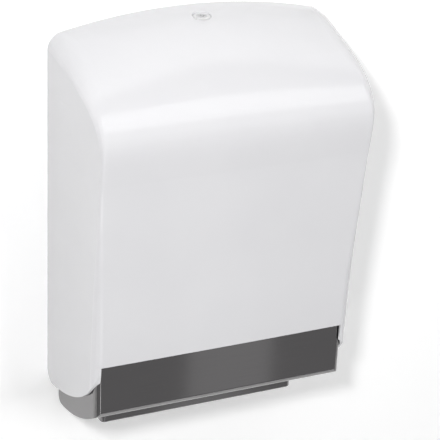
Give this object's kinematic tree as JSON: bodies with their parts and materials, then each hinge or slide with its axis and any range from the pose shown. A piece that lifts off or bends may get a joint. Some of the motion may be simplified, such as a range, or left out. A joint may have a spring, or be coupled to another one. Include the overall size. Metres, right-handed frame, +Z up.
{
  "type": "folded paper towel dispenser",
  "caption": "Wall dispenser for folded paper towels: a white moulded cover that hinges open over a back plate and a stainless trough with a towel outlet.",
  "frame": {"origin": "centre of the four wall screw holes, on the wall plane", "axes": "+X to the right seen from the front, -Y out from the wall, +Z up"},
  "size_m": [0.3, 0.1403, 0.4326],
  "materials": {
    "cover_white": "gloss moulded",
    "stainless": "satin stainless sheet",
    "frame_steel": "satin stainless, rounded lip",
    "plate_paint": "light grey powder coat",
    "zinc_steel": "bright zinc",
    "guide_steel": "light grey powder coat",
    "bush_nylon": "natural nylon",
    "lock_white": "white moulded",
    "plug_grey": "pale grey moulded",
    "bumper_rubber": "matt"
  },
  "bodies": {
    "frame": {"back_plate": "plate_paint", "lower_body": "stainless", "body_screws": "zinc_steel", "outlet_frame": "frame_steel", "outlet_rivets": "zinc_steel", "guide_rivets": "zinc_steel", "stack_guide_left": "guide_steel", "stack_guide_right": "guide_steel", "hinge_bush_left": "bush_nylon", "hinge_bush_right": "bush_nylon", "closing_bumper_left": "bumper_rubber", "closing_bumper_right": "bumper_rubber", "latch_keeper": "zinc_steel", "keeper_rivets": "zinc_steel"},
    "cover_body": {"cover": "cover_white", "lock_housing": "lock_white", "lock_nut": "bush_nylon", "hinge_washer_left": "zinc_steel", "hinge_washer_right": "zinc_steel", "hinge_screw_left": "zinc_steel", "hinge_screw_right": "zinc_steel"},
    "lock_body": {"lock_plug": "plug_grey", "lock_cam": "zinc_steel", "cam_screw": "zinc_steel"}
  },
  "joints": [
    {"name": "cover_hinge", "type": "hinge", "parent": "frame", "child": "cover_body", "pos_m": [0, -0.0145, -0.179], "axis": [1, 0, 0], "range_deg": [0, 75]},
    {"name": "lock_turn", "type": "hinge", "parent": "cover_body", "child": "lock_body", "pos_m": [0, -0.032, 0.2], "axis": [0, 0, 1], "range_deg": [0, 90]}
  ]
}
